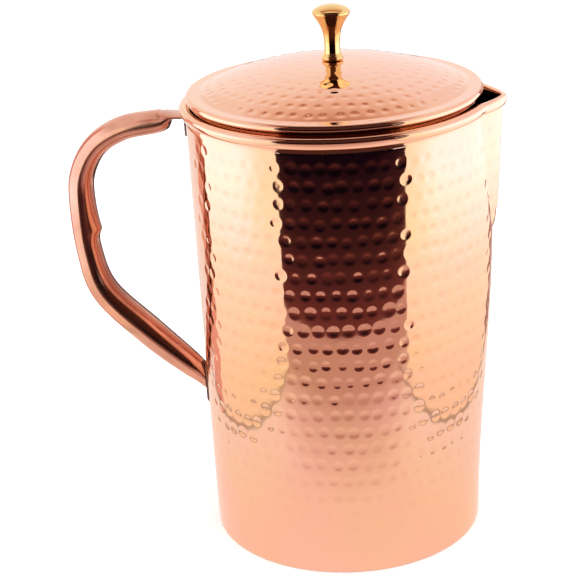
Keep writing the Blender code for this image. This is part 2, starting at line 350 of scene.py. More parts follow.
class Nodes:
    """A small hand for writing a material's nodes."""

    def __init__(self, name: str) -> None:
        """Starts a material with a Principled shader.

        Args:
            name: the material's name.
        """
        self.material = bpy.data.materials.new(name)
        self.material.use_nodes = True
        self.tree = self.material.node_tree
        self.shader = self.tree.nodes["Principled BSDF"]

    def add(self, kind: str, **settings: object) -> bpy.types.Node:
        """A new node with its properties set.

        Args:
            kind: the node's class name without the ShaderNode in front.
            **settings: properties of the node.

        Returns:
            The node.
        """
        node = self.tree.nodes.new("ShaderNode" + kind)
        for key, value in settings.items():
            setattr(node, key, value)
        return node

    def join(self, source: Socket, target: Socket) -> None:
        """Links an output to an input."""
        self.tree.links.new(source, target)

    def noise(self, scale: Sequence[float], detail: float, rough: float = 0.5) -> Socket:
        """Noise on the piece's own coordinates, stretched by a scale in cycles per metre.

        Args:
            scale: cycles per metre along X, Y and Z.
            detail: octaves of noise.
            rough: how strong the finer octaves are.

        Returns:
            The noise's value, from 0 to 1.
        """
        place = self.add("TexCoord")
        stretch = self.add("Mapping")
        stretch.inputs["Scale"].default_value = scale
        self.join(place.outputs["Object"], stretch.inputs["Vector"])
        cloud = self.add("TexNoise")
        cloud.inputs["Scale"].default_value = 1.0
        cloud.inputs["Detail"].default_value = detail
        cloud.inputs["Roughness"].default_value = rough
        self.join(stretch.outputs["Vector"], cloud.inputs["Vector"])
        return cloud.outputs["Fac"]

    def spread(
        self, value: Socket, low: float, high: float, start: float, end: float
    ) -> Socket:
        """Maps a value from the range low..high to start..end, and holds it there.

        Args:
            value: the value's socket.
            low: where the rise starts.
            high: where the rise ends.
            start: result at low.
            end: result at high.

        Returns:
            The mapped value.
        """
        node = self.add("MapRange")
        self.join(value, node.inputs["Value"])
        for key, number in (("From Min", low), ("From Max", high), ("To Min", start), ("To Max", end)):
            node.inputs[key].default_value = number
        return node.outputs["Result"]

    def sum(self, first: Socket, second: Socket) -> Socket:
        """Adds two values.

        Args:
            first: one value's socket.
            second: the other value's socket.

        Returns:
            Their sum.
        """
        node = self.add("Math", operation="ADD")
        self.join(first, node.inputs[0])
        self.join(second, node.inputs[1])
        return node.outputs[0]

    def blend(
        self, share: Socket, first: Socket | Colour, second: Colour
    ) -> Socket:
        """Mixes a colour towards another.

        Args:
            share: how much of the second, from 0 to 1.
            first: a colour or a colour's socket.
            second: the other colour.

        Returns:
            The mixed colour.
        """
        node = self.add("Mix", data_type="RGBA")
        self.join(share, node.inputs["Factor"])
        if isinstance(first, tuple):
            node.inputs[6].default_value = (*first, 1.0)
        else:
            self.join(first, node.inputs[6])
        node.inputs[7].default_value = (*second, 1.0)
        return node.outputs[2]

    def bump(
        self, height: Socket, depth_mm: float, under: Optional[Socket] = None
    ) -> Socket:
        """A bump of a depth, on top of another.

        Args:
            height: the height's socket, from 0 to 1.
            depth_mm: how deep it is.
            under: the normal of a bump below this one.

        Returns:
            The bumped normal.
        """
        node = self.add("Bump")
        node.inputs["Distance"].default_value = depth_mm * MM
        self.join(height, node.inputs["Height"])
        if under is not None:
            self.join(under, node.inputs["Normal"])
        return node.outputs["Normal"]


@dataclass(frozen=True)
class MetalFinish:
    """A polished metal with cloudy tarnish, fine wear lines and a little dirt in its hammer marks.

    Attributes:
        name: the material's name.
        slot: the record's material slot; not used.
        colour: clean metal.
        tarnish: colour of the tarnished clouds.
        marks: colour in the bottom of the hammer marks, or the tarnish where there are none.
        cloud: cycles per metre of the clouds.
        tarnish_share: the most that the clouds change the colour.
        mark_share: the most that the hammer marks change the colour.
        gloss: roughness of the shiniest and the dullest spots.
        lines: cycles per metre of the wear lines along X, Y and Z.
        line_depth: depth of the wear lines in millimetres.
        grain: cycles per metre of the fine pits.
        pits: depth of the fine pits in millimetres.
    """

    name: str
    slot: str
    colour: Colour
    tarnish: Colour
    marks: Colour
    cloud: float = 28.0
    tarnish_share: float = 0.35
    mark_share: float = 0.0
    gloss: tuple[float, float] = (0.05, 0.12)
    lines: Colour = (60.0, 60.0, 3000.0)
    line_depth: float = 0.0006
    grain: float = 900.0
    pits: float = 0.0004

    def build(self) -> bpy.types.Material:
        """Writes the material's nodes.

        Returns:
            The material.
        """
        nodes = Nodes(self.name)
        shader = nodes.shader
        shader.inputs["Metallic"].default_value = 1.0
        clouds = nodes.noise((self.cloud,) * 3, 4.0, 0.55)
        share = nodes.spread(clouds, 0.42, 0.72, 0.0, self.tarnish_share)
        colour = nodes.blend(share, self.colour, self.tarnish)
        dull = nodes.spread(clouds, 0.35, 0.75, self.gloss[0], self.gloss[1])
        if self.mark_share > 0.0:
            mark = nodes.add("Attribute", attribute_name="hammer_mark").outputs["Fac"]
            colour = nodes.blend(nodes.spread(mark, 0.1, 1.0, 0.0, self.mark_share), colour, self.marks)
            dull = nodes.sum(dull, nodes.spread(mark, 0.3, 1.0, 0.0, 0.02))
        nodes.join(colour, shader.inputs["Base Color"])
        fine = nodes.noise((self.grain,) * 3, 3.0)
        dull = nodes.sum(dull, nodes.spread(fine, 0.3, 0.8, 0.0, 0.02))
        nodes.join(dull, shader.inputs["Roughness"])
        wear = nodes.bump(nodes.noise(self.lines, 3.0, 0.6), self.line_depth)
        nodes.join(nodes.bump(fine, self.pits, wear), shader.inputs["Normal"])
        return nodes.material


HAMMERED_COPPER = MetalFinish(
    "hammered_copper", "hammered_copper", (0.955, 0.57, 0.43), (0.93, 0.60, 0.34), (0.90, 0.49, 0.35),
    cloud=22.0, tarnish_share=0.7, mark_share=0.35, gloss=(0.035, 0.08),
)
PLAIN_COPPER = MetalFinish(
    "plain_copper", "inner_copper", (0.78, 0.41, 0.28), (0.52, 0.25, 0.17), (0.52, 0.25, 0.17),
    cloud=40.0, tarnish_share=0.8, gloss=(0.2, 0.38), line_depth=0.002, pits=0.002,
)
HANDLE_COPPER = MetalFinish(
    "handle_copper", "handle_copper", (0.80, 0.41, 0.30), (0.56, 0.25, 0.17), (0.56, 0.25, 0.17),
    cloud=55.0, tarnish_share=0.8, gloss=(0.13, 0.22), lines=(1400.0, 1400.0, 120.0), line_depth=0.0012,
)
# Painted shade: a darker copy of the handle copper for the inner half, which faces the jug and looks
# darker under the studio light.
SHADED_GRIP_COPPER = MetalFinish(
    "grip_copper_painted_shade", "handle_copper", (0.62, 0.29, 0.21), (0.36, 0.15, 0.11), (0.36, 0.15, 0.11),
    cloud=45.0, tarnish_share=0.8, gloss=(0.15, 0.26), lines=(1400.0, 1400.0, 120.0), line_depth=0.0014,
)
# Nearly black: partly the brazed plates' own dark colour, partly painted shade of the gap under the
# handle's ends.
BRAZED_SHADED_COPPER = MetalFinish(
    "brazed_copper_painted_shade", "handle_copper", (0.22, 0.11, 0.08), (0.08, 0.045, 0.04), (0.08, 0.045, 0.04),
    cloud=120.0, tarnish_share=0.9, gloss=(0.3, 0.5), line_depth=0.003, pits=0.004,
)
WIRE_COPPER = MetalFinish(
    "wire_copper", "wire_copper", (0.55, 0.29, 0.2), (0.35, 0.18, 0.13), (0.35, 0.18, 0.13),
    cloud=90.0, tarnish_share=0.8, gloss=(0.3, 0.45),
)
TURNED_BRASS = MetalFinish(
    "turned_brass", "knob_brass", (0.96, 0.70, 0.31), (0.86, 0.55, 0.2), (0.86, 0.55, 0.2),
    cloud=160.0, tarnish_share=0.5, gloss=(0.05, 0.11), lines=(30.0, 30.0, 2600.0), line_depth=0.0012,
)
SCREW_STEEL = MetalFinish(
    "screw_steel", "screw_steel", (0.60, 0.60, 0.58), (0.42, 0.39, 0.35), (0.42, 0.39, 0.35),
    cloud=200.0, tarnish_share=0.7, gloss=(0.25, 0.4),
)


class Wardrobe:
    """Builds each finish once and hands it out."""

    def __init__(self) -> None:
        """Starts with no finish built."""
        self.built: dict[str, bpy.types.Material] = {}

    def material(self, finish: MetalFinish) -> bpy.types.Material:
        """The material of a finish."""
        if finish.name not in self.built:
            self.built[finish.name] = finish.build()
        return self.built[finish.name]

    def dress(self, piece: bpy.types.Object, finish: MetalFinish, body: Body, *nodes: str) -> None:
        """Gives a new piece its finish, sets it on its body and lets it stand for CAD nodes.

        Args:
            piece: the new piece.
            finish: what it is finished in.
            body: the body it rides on.
            *nodes: the CAD nodes it stands for.
        """
        piece.data.materials.append(self.material(finish))
        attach(piece, body.value)
        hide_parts(*nodes)
        LOG.info("%s: %d points on %s", piece.name, len(piece.data.vertices), body.value)

    def dress_node(self, node: str, finish: MetalFinish) -> None:
        """Gives a CAD node that stays as it is a better material.

        Args:
            node: the node's name.
            finish: what it is finished in.
        """
        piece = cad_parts[node]
        piece.data.materials.clear()
        piece.data.materials.append(self.material(finish))
        LOG.info("%s: kept, finished in %s", node, finish.name)


# ---------------------------------------------------------------------------
# Hammer marks
# ---------------------------------------------------------------------------


@dataclass
class Hammering:
    """Rows of round hammer marks, each row going all the way round the axis.

    A mark is level in its middle and rises smoothly to its rim: at distance d from its centre its
    depth falls off as one minus the smooth step of d from flat times the size to the size. Where
    marks overlap, the deeper one wins.

    Attributes:
        rows: travel of each row: a height on the wall, or a radius on the lid.
        reaches: distance of each row from the axis.
        spacing: distance between marks in a row.
        size: radius of a mark.
        depth: depth of a mark.
        stray: how far a mark strays from its place.
        seed: seed of the strays.
        flat: share of a mark's radius that is level.
        tilts: slope of the smooth surface along the travel at each row, which a mark's floor undoes.
        cross_stray: share of the stray that goes across the row.
        size_spread: how much the marks' sizes differ.
        shape_spread: how much the marks are longer or shorter across the row.
        depth_spread: how much the marks' depths differ.
    """

    rows: np.ndarray
    reaches: np.ndarray
    spacing: float
    size: float
    depth: float
    stray: float
    seed: int
    flat: float = 0.22
    tilts: float | np.ndarray = 0.0
    cross_stray: float = 0.7
    size_spread: float = 0.12
    shape_spread: float = 0.08
    depth_spread: float = 0.35
    counts: np.ndarray = field(init=False)
    strays: np.ndarray = field(init=False)
    phase: np.ndarray = field(init=False)

    def __post_init__(self) -> None:
        """Counts the marks of each row and draws how each strays."""
        self.counts = np.maximum(3, np.round(2.0 * math.pi * self.reaches / self.spacing)).astype(int)
        draw = np.random.default_rng(self.seed)
        self.strays = draw.uniform(-1.0, 1.0, (4, len(self.rows), int(self.counts.max())))
        self.phase = draw.uniform(0.0, 1.0, len(self.rows))

    def depth_at(self, angle: np.ndarray, travel: np.ndarray) -> np.ndarray:
        """Depth of the hammered surface below the smooth one.

        Args:
            angle: angle round the axis.
            travel: height or radius, whichever the rows count.

        Returns:
            Depth in millimetres, 0 or more.
        """
        nearest = np.round((travel - self.rows[0]) / (self.rows[1] - self.rows[0])).astype(int)
        deepest = np.zeros(np.broadcast(angle, travel).shape)
        for row_step in (-1, 0, 1):
            row = nearest + row_step
            real = (row >= 0) & (row < len(self.rows))
            row = np.clip(row, 0, len(self.rows) - 1)
            count = self.counts[row]
            place = angle / (2.0 * math.pi) * count - self.phase[row]
            for mark_step in (-1, 0, 1):
                mark = np.round(place).astype(int) + mark_step
                stray = self.strays[:, row, mark % count]
                along = (place - mark) * 2.0 * math.pi / count * self.reaches[row]
                along = along - stray[0] * self.stray
                across = travel - self.rows[row] - stray[1] * self.stray * self.cross_stray
                size = self.size * (1.0 + self.size_spread * stray[2])
                distance = np.hypot(along, across * (1.0 + self.shape_spread * stray[3])) / size
                tilt = (self.tilts + np.zeros(len(self.rows)))[row] * across
                level = self.depth * (1.0 + self.depth_spread * stray[3]) + tilt
                level = level * (1.0 - smoothstep(distance, self.flat, 1.0))
                deepest = np.maximum(deepest, np.where(real, level, 0.0))
        return deepest


# ---------------------------------------------------------------------------
# Jug body
# ---------------------------------------------------------------------------


@dataclass
class JugBody:
    """The hammered wall with its pinched spout and rolled rim, and the base.

    The wall's radius is the foot's plus a widening that grows with a power of the height. Towards
    the spout it swells softly, and above the crease's foot a sharp fold stands out, whose width and
    reach grow towards the rim.
    """

    sheet: float = 0.9
    lip: tuple[tuple[float, float], ...] = (
        (-0.45, -2.30), (0.35, -2.36), (1.15, -2.05), (1.75, -1.25), (2.15, -0.25), (2.38, 0.7),
        (2.12, 1.45), (1.45, 2.08), (0.5, 2.4), (-0.6, 2.32), (-1.55, 1.8), (-2.2, 0.95),
        (-2.4, 0.0), (-2.2, -1.4),
    )
    foot_edge: tuple[tuple[float, float], ...] = ((-0.8, 0.0), (-0.3, 0.0), (-0.08, 0.1))
    foot_heights: tuple[float, ...] = (0.35, 1.0, 2.5, 4.5, 7.0, 9.5)
    neck_heights: tuple[float, ...] = (180.3, 181.0, 181.8, 182.7)
    inside_heights: tuple[float, ...] = (
        181.0, 179.0, 177.0, 174.0, 168.0, 160.0, 151.0, 142.0, 136.0, 131.0, 126.0, 118.0, 106.0,
        92.0, 74.0, 52.0, 34.0, 18.0, 8.0, 3.0, 1.0, 0.2, 0.0,
    )
    foot_radius: float = 57.2
    widening: float = 3.0
    widening_power: float = 0.8
    middle_height: float = 90.0
    neck_height: float = 176.0
    neck_foot: float = 180.0
    neck_top: float = 184.0
    neck_depth: float = 1.25
    neck_depth_inside: float = 0.8
    bead_size: float = 2.4
    crease_foot: float = 131.0
    crease_reach: float = 6.9
    crease_growth: float = 0.62
    crease_half_foot: float = math.radians(4.0)
    crease_half_rim: float = math.radians(15.5)
    crease_softness: float = 0.05
    crease_blend: tuple[float, float] = (0.9, 1.6)
    bulge_foot: float = 10.0
    bulge_top: float = 125.0
    bulge_reach: float = 4.0
    bulge_fade: float = 0.75
    bulge_half: float = math.radians(38.0)
    lip_squeeze: float = 0.45
    columns: int = 800
    hammered_rows: int = 352
    hammered_foot: float = 12.0
    hammered_top: float = 179.6
    quarters: int = 4
    mark_top: float = 174.6
    mark_foot: float = 14.0
    mark_pitch: float = 7.35
    mark_spacing: float = 5.95
    mark_size: float = 2.8
    mark_depth: float = 0.125
    mark_stray: float = 0.75
    mark_seed: int = 11

    def __post_init__(self) -> None:
        """Takes the body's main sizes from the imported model."""
        _, high = box_mm("body_wall")
        self.bead_radius = high[1] - self.bead_size
        self.bead_height = high[2] - self.bead_size

    def wall_radius(self, height: np.ndarray) -> np.ndarray:
        """Outside radius of the plain wall: the foot's + widening (height / neck height)^power."""
        share = np.clip(height / self.neck_height, 0.0, 1.0)
        return self.foot_radius + self.widening * share ** self.widening_power

    def spout_shift(self, angle: np.ndarray, height: np.ndarray) -> np.ndarray:
        """How far the wall is pushed out towards the spout: the swelling plus the crease.

        Args:
            angle: angle from the spout.
            height: height above the foot.

        Returns:
            The shift in millimetres.
        """
        turn = np.abs(np.arctan2(np.sin(angle), np.cos(angle)))
        swell = smoothstep(height, self.bulge_foot, self.bulge_top)
        swell = swell * (1.0 - self.bulge_fade * smoothstep(height, self.bulge_top, self.bead_height))
        bulge = self.bulge_reach * swell * (1.0 - smoothstep(turn, 0.0, self.bulge_half))
        climb = np.clip((height - self.crease_foot) / (self.bead_height - self.crease_foot), 0.0, 1.0)
        half = self.crease_half_foot + (self.crease_half_rim - self.crease_half_foot) * climb
        fold = np.sqrt((turn / half) ** 2 + self.crease_softness ** 2)
        flank = soft_positive(1.0 - fold, self.crease_softness)
        start, end = self.crease_blend
        rest = 0.5 * self.crease_softness * smoothstep(fold, start, end)
        flank = np.where(fold < end, flank - rest, 0.0)
        return bulge + self.crease_reach * climb ** self.crease_growth * np.maximum(flank, 0.0)

    def lip_narrowing(self, angle: np.ndarray, height: np.ndarray) -> np.ndarray:
        """Share by which the rolled rim is narrowed at the spout's tip; nothing below the neck.

        It is the squeeze times the root of 1 - turn / half, with half the crease's width at the rim.

        Args:
            angle: angle from the spout.
            height: height above the foot.

        Returns:
            The share, from 0 to 1.
        """
        turn = np.abs(np.arctan2(np.sin(angle), np.cos(angle)))
        flank = np.clip(1.0 - turn / self.crease_half_rim, 0.0, 1.0)
        rise = smoothstep(height, self.neck_height, self.bead_height - self.bead_size)
        return self.lip_squeeze * np.sqrt(flank) * rise

    def marks(self) -> Hammering:
        """The wall's hammer marks: level rows from under the rim nearly down to the foot."""
        rows = np.arange(self.mark_top, self.mark_foot, -self.mark_pitch)
        reaches = np.full(len(rows), self.wall_radius(np.array(self.middle_height)))
        sizes = (self.mark_spacing, self.mark_size, self.mark_depth)
        return Hammering(rows, reaches, *sizes, self.mark_stray, self.mark_seed)

    def mark_fade(self, height: np.ndarray) -> np.ndarray:
        """Share of the marks' depth that is struck at a height: they grow shallow near the foot."""
        return 0.8 * smoothstep(height, 14.0, 48.0) + 0.2 * smoothstep(height, 8.0, 20.0)

    def profile(self) -> tuple[np.ndarray, int]:
        """The wall's section as a loop: up the outside, round the rolled rim and down the inside.

        Returns:
            Rows of radius and height, and how many of the first ones are the outside.
        """
        centre = (self.bead_radius, self.bead_height)
        struck = np.linspace(self.hammered_foot, self.hammered_top, self.hammered_rows)
        heights = np.concatenate((self.foot_heights, struck, self.neck_heights))
        neck = smoothstep(heights, self.neck_foot, self.neck_top)
        outside = np.column_stack((self.wall_radius(heights) - self.neck_depth * neck, heights))
        foot = np.array(self.foot_edge) + (self.foot_radius, 0.0)
        roll_inside = arc(centre, self.bead_size - self.sheet, 190.0, -105.0, 18)
        roll_outside = smooth_curve(self.lip, 34) + centre
        inside_heights = np.array(self.inside_heights)
        neck = smoothstep(inside_heights, self.neck_height, self.bead_height)
        radius = self.wall_radius(inside_heights) - self.sheet - self.neck_depth_inside * neck
        inside = np.column_stack((radius, inside_heights))
        inside[-1, 0] += 0.15
        return np.vstack((foot, outside, roll_inside, roll_outside, inside)), len(foot) + len(outside)

    def build_wall(self, wardrobe: Wardrobe) -> None:
        """Builds the wall in four quarters that meet edge to edge, the first seam at the spout.

        Each point is (r cos a, r sin a, z) with r the profile's radius, plus the spout's shift, less
        the lip's narrowing and the hammer marks' depth.

        Args:
            wardrobe: hands out the finish.
        """
        profile, outside = self.profile()
        angle = np.linspace(0.0, 2.0 * math.pi, self.columns, endpoint=False)[None, :]
        radius, height = profile[:, :1], profile[:, 1:2]
        marks = self.marks().depth_at(angle, np.broadcast_to(height[:outside], (outside, 1)))
        depth = np.zeros((len(profile), self.columns))
        depth[:outside] = marks * self.mark_fade(height[:outside])
        narrowed = (radius - self.bead_radius) * self.lip_narrowing(angle, height)
        reach = radius + self.spout_shift(angle, height) - narrowed - depth
        level = np.broadcast_to(height, reach.shape)
        grid = np.stack((reach * np.cos(angle), reach * np.sin(angle), level), axis=-1)
        rows = len(profile)
        faces = lattice(rows, self.columns, True, True)
        points = grid.reshape(-1, 3)
        if six_volumes(points, faces) < 0.0:
            faces = faces[:, ::-1]
        normals = point_normals(points, faces).reshape(grid.shape)
        span = self.columns // self.quarters
        for quarter in range(self.quarters):
            name = f"wall_quarter_{quarter + 1}"
            pick = np.arange(quarter * span, (quarter + 1) * span + 1) % self.columns
            part = grid[:, pick].reshape(-1, 3)
            skin = lattice(rows, span + 1, True, False)
            first = np.arange(rows) * (span + 1)
            caps = [first.tolist(), (first + span)[::-1].tolist()]
            if six_volumes(part, skin) < 0.0:
                skin = skin[:, ::-1]
                caps = [cap[::-1] for cap in caps]
            piece = write_piece(
                name, part, skin.tolist() + caps, (depth[:, pick] / self.mark_depth).ravel(),
                normals[:, pick].reshape(-1, 3),
            )
            wardrobe.dress(piece, HAMMERED_COPPER, Body.JUG, "body_wall")

    def build_base(self, wardrobe: Wardrobe) -> None:
        """Builds the base pan: flat, turned up at its edge with a small bend.

        Args:
            wardrobe: hands out the finish.
        """
        low, high = box_mm("base_pan")
        reach = -low[1]
        half_sheet = self.sheet / 2.0
        under = [(0.0, 0.0), (0.5, 0.0)]
        under += [(r, 0.0) for r in np.linspace(4.0, reach - 1.4, 14)]
        bend = arc((reach - 1.3, 1.0), 1.0, -90.0, 0.0, 8)
        lip = arc((reach - half_sheet - 0.05, high[2] - half_sheet), half_sheet, 0.0, 180.0, 7)
        inner = arc((reach - 0.3 - self.sheet - 0.8, self.sheet + 0.8), 0.8, 0.0, -90.0, 6)
        above = [(r, self.sheet) for r in np.linspace(reach - 3.0, 4.0, 14)]
        above += [(0.5, self.sheet), (0.0, self.sheet)]
        profile = np.vstack((under, bend, lip, inner, above))
        wardrobe.dress(write_turned("base", profile, 180), PLAIN_COPPER, Body.JUG, "base_pan")

    def build(self, wardrobe: Wardrobe) -> None:
        """Builds the body and dresses the wire that stays hidden in the rim.

        Args:
            wardrobe: hands out the finishes.
        """
        self.build_wall(wardrobe)
        self.build_base(wardrobe)
        wardrobe.dress_node("rim_wire", WIRE_COPPER)


# ---------------------------------------------------------------------------
# Handle
# ---------------------------------------------------------------------------


@dataclass
class Handle:
    """The hollow handle: two half-oval channels, and the two plates that it is brazed to.

    The section at each station is an oval: away = half depth cos t, across = half width sin t.
    Each row of the line holds the distance from the jug's axis, the height, the half depth and the
    half width.
    """

    sheet: float = 0.9
    line: tuple[tuple[float, float, float, float], ...] = (
        (62.4, 179.7, 1.1, 6.2),
        (66.2, 179.7, 1.2, 6.4),
        (69.0, 178.7, 3.0, 6.8),
        (72.5, 177.2, 4.6, 7.0),
        (88.0, 174.3, 5.0, 7.2),
        (99.7, 167.2, 5.0, 7.2),
        (106.5, 155.8, 5.2, 7.2),
        (108.1, 143.0, 5.4, 7.2),
        (106.9, 120.8, 5.3, 7.2),
        (101.3, 102.0, 5.9, 7.3),
        (83.4, 83.3, 6.3, 7.2),
        (67.5, 69.0, 5.4, 6.0),
        (61.0, 63.2, 4.2, 4.6),
    )
    stations: int = 180
    section_points: int = 41
    half_seam: float = 0.02
    thinnest_half: float = 0.25
    bump_height: float = 130.0
    bump_reach: float = 2.0
    bump_above: float = 20.0
    bump_below: float = 7.0
    tab_thickness: float = 1.0
    tab_steps: int = 25
    tab_rounding: float = 0.42

    def ending(self, ring: np.ndarray, direction: np.ndarray, radius: float) -> np.ndarray:
        """Slides a section's points along the handle until they are a distance from the jug's axis.

        Along p + s d, the distance from the axis is the radius where s is the nearer root of the
        quadratic (d.d) s^2 + 2 (p.d) s + p.p - radius^2, in X and Y only.

        Args:
            ring: the section's points.
            direction: the handle's direction there.
            radius: the distance.

        Returns:
            The moved points.
        """
        across = direction[0] ** 2 + direction[1] ** 2
        along = ring[:, 0] * direction[0] + ring[:, 1] * direction[1]
        miss = ring[:, 0] ** 2 + ring[:, 1] ** 2 - radius ** 2
        root = np.sqrt(along ** 2 - across * miss)
        near = np.where(along < 0.0, -along - root, -along + root) / across
        return ring + near[:, None] * direction

    def shell(self, side: Side) -> np.ndarray:
        """The points of one channel.

        Args:
            side: which half.

        Returns:
            Stations by section points by 3.
        """
        reach, height, depth, width = smooth_curve(self.line, self.stations).T[:, :, None]
        step = np.gradient(np.column_stack((reach, height)), axis=0)
        step /= np.linalg.norm(step, axis=1)[:, None]
        turn = np.radians(np.linspace(-90.0, 90.0, self.section_points))[None, :]
        above = np.clip((height - self.bump_height) / self.bump_above, 0.0, 1.0)
        below = np.clip((self.bump_height - height) / self.bump_below, 0.0, 1.0)
        bump = self.bump_reach if side is Side.INNER else 0.0
        swell = bump * (1.0 - np.maximum(above, below)) ** 2 * np.cos(turn) ** 4
        outer = depth * np.cos(turn) + swell
        inner = np.maximum(depth - self.sheet, self.thinnest_half) * np.cos(turn) + swell
        away = side.value * (np.column_stack((outer, inner[:, ::-1])) + self.half_seam)
        across = np.column_stack((width * np.sin(turn), (width - self.sheet) * np.sin(turn)[:, ::-1]))
        x = -(reach - away * step[:, 1:2])
        z = height + away * step[:, :1]
        grid = np.stack((x, across, z), axis=-1)
        ends = {0: box_mm("handle_upper_tab"), self.stations - 1: box_mm("handle_lower_tab")}
        for station, (low, _) in ends.items():
            direction = np.array((-step[station, 0], 0.0, step[station, 1]))
            grid[station] = self.ending(grid[station], direction, -low[0] + 0.05)
        return grid

    def tab(self, name: str, node: str, wardrobe: Wardrobe) -> None:
        """Builds a brazed plate: a curved pad with soft corners that lies on the wall.

        Its outline is a rectangle whose corners are drawn in by the fourth power of the other share,
        and its thickness falls off near its edge as (1 - e^8)^(1/2) of the edge share e.

        Args:
            name: the piece's name.
            node: the CAD node that it stands for.
            wardrobe: hands out the finish.
        """
        low, high = box_mm(node)
        thick = self.tab_thickness
        base = -low[0] - thick
        wall = -high[0] if abs(high[0]) > 1.0 else base
        half_angle = math.asin(high[1] / (wall + thick))
        middle = (low[2] + high[2]) / 2.0
        half_height = (high[2] - low[2]) / 2.0
        share = np.sin(np.radians(np.linspace(-90.0, 90.0, self.tab_steps)))
        u, v = share[None, :], share[:, None]
        round_u = u * np.sqrt(1.0 - self.tab_rounding * v ** 4)
        round_v = v * np.sqrt(1.0 - self.tab_rounding * u ** 4)
        edge = np.maximum(np.abs(u), np.abs(v))
        lift = thick * np.sqrt(np.clip(1.0 - edge ** 8, 0.0, 1.0))
        angle = math.pi + round_u * half_angle
        sheets = []
        for rise in (lift, np.zeros_like(lift)):
            reach = base + rise
            place = (reach * np.cos(angle), reach * np.sin(angle), middle + round_v * half_height)
            sheets.append(np.stack(place, axis=-1))
        piece = write_pad(name, sheets[0], sheets[1])
        # The plate is finished nearly black: brazing colour plus painted shade of the gap under the
        # handle's end.
        wardrobe.dress(piece, BRAZED_SHADED_COPPER, Body.JUG, node)

    def build(self, wardrobe: Wardrobe) -> None:
        """Builds both channels and both plates.

        Args:
            wardrobe: hands out the finishes.
        """
        # The inner half takes the darker copy of the handle copper: painted shade on the side facing the
        # jug.
        halves = ((Side.OUTER, "handle_outer", HANDLE_COPPER), (Side.INNER, "handle_inner", SHADED_GRIP_COPPER))
        for side, name, finish in halves:
            piece = write_channel(name, self.shell(side))
            wardrobe.dress(piece, finish, Body.JUG, name + "_shell")
        self.tab("upper_tab", "handle_upper_tab", wardrobe)
        self.tab("lower_tab", "handle_lower_tab", wardrobe)


# ---------------------------------------------------------------------------
# Lid and knob
# ---------------------------------------------------------------------------


